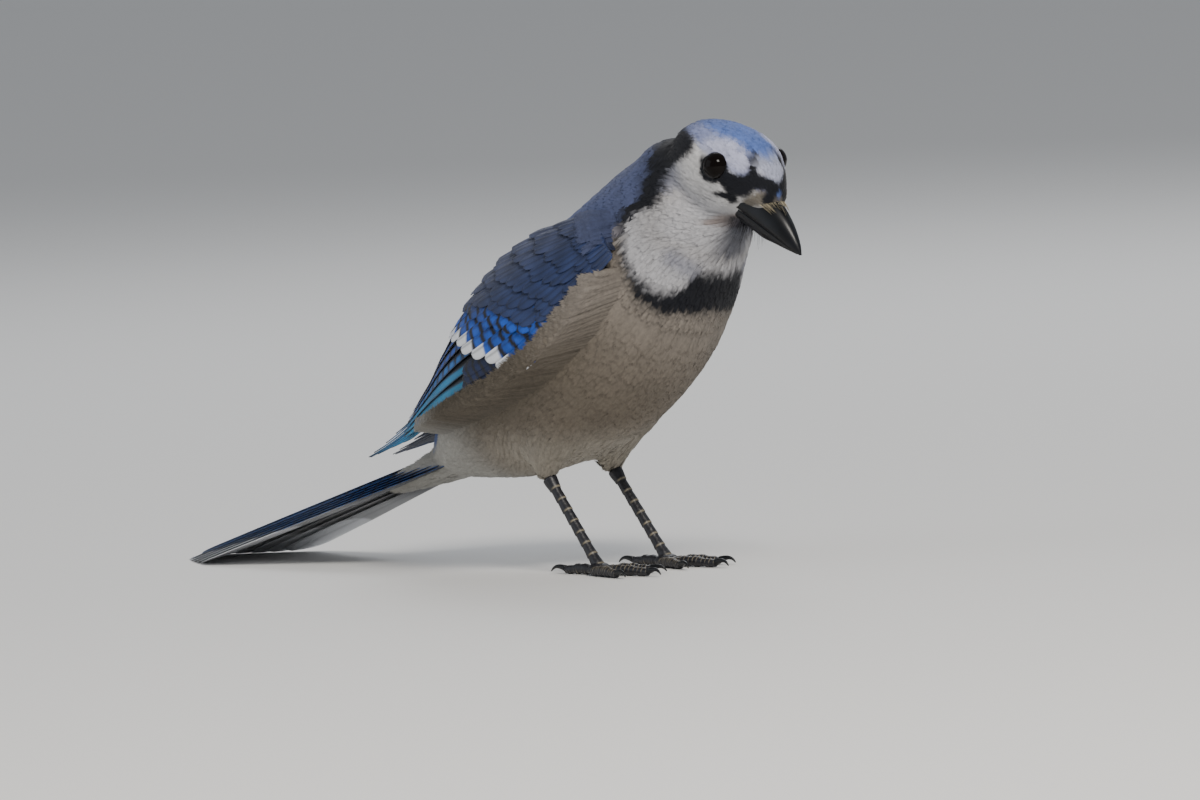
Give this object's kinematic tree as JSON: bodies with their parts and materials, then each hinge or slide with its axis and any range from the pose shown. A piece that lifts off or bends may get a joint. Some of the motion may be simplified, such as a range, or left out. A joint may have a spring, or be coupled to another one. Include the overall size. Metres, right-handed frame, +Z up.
{
  "type": "blue jay",
  "caption": "Standing songbird with a crested head, stout bill, folded barred wings and a long barred tail that rests on the floor.",
  "frame": {"origin": "middle of the bounding box in plan, on the floor that the bird stands on", "axes": "+X towards the bill, +Y to the bird's left, +Z up"},
  "size_m": [0.2676, 0.0756, 0.1383],
  "materials": {
    "plumage_grey": "soft small feathers",
    "plumage_white": "soft small feathers",
    "plumage_blue": "smooth vaned feathers with dark bars",
    "horn": "smooth satin horn",
    "scaled": "small hard scales",
    "eye": "wet gloss"
  },
  "bodies": {
    "root": {"torso": "plumage_grey", "neck": "plumage_grey", "head": "plumage_white", "bill_upper": "horn", "bill_lower": "horn", "tail": "plumage_blue", "wing_right": "plumage_blue", "wing_left": "plumage_blue", "eye_right": "eye", "thigh_right": "plumage_white", "shank_right": "scaled", "toe_hind_right": "scaled", "claw_hind_right": "horn", "toe_inner_right": "scaled", "claw_inner_right": "horn", "toe_middle_right": "scaled", "claw_middle_right": "horn", "toe_outer_right": "scaled", "claw_outer_right": "horn", "eye_left": "eye", "thigh_left": "plumage_white", "shank_left": "scaled", "toe_hind_left": "scaled", "claw_hind_left": "horn", "toe_inner_left": "scaled", "claw_inner_left": "horn", "toe_middle_left": "scaled", "claw_middle_left": "horn", "toe_outer_left": "scaled", "claw_outer_left": "horn"}
  },
  "joints": []
}
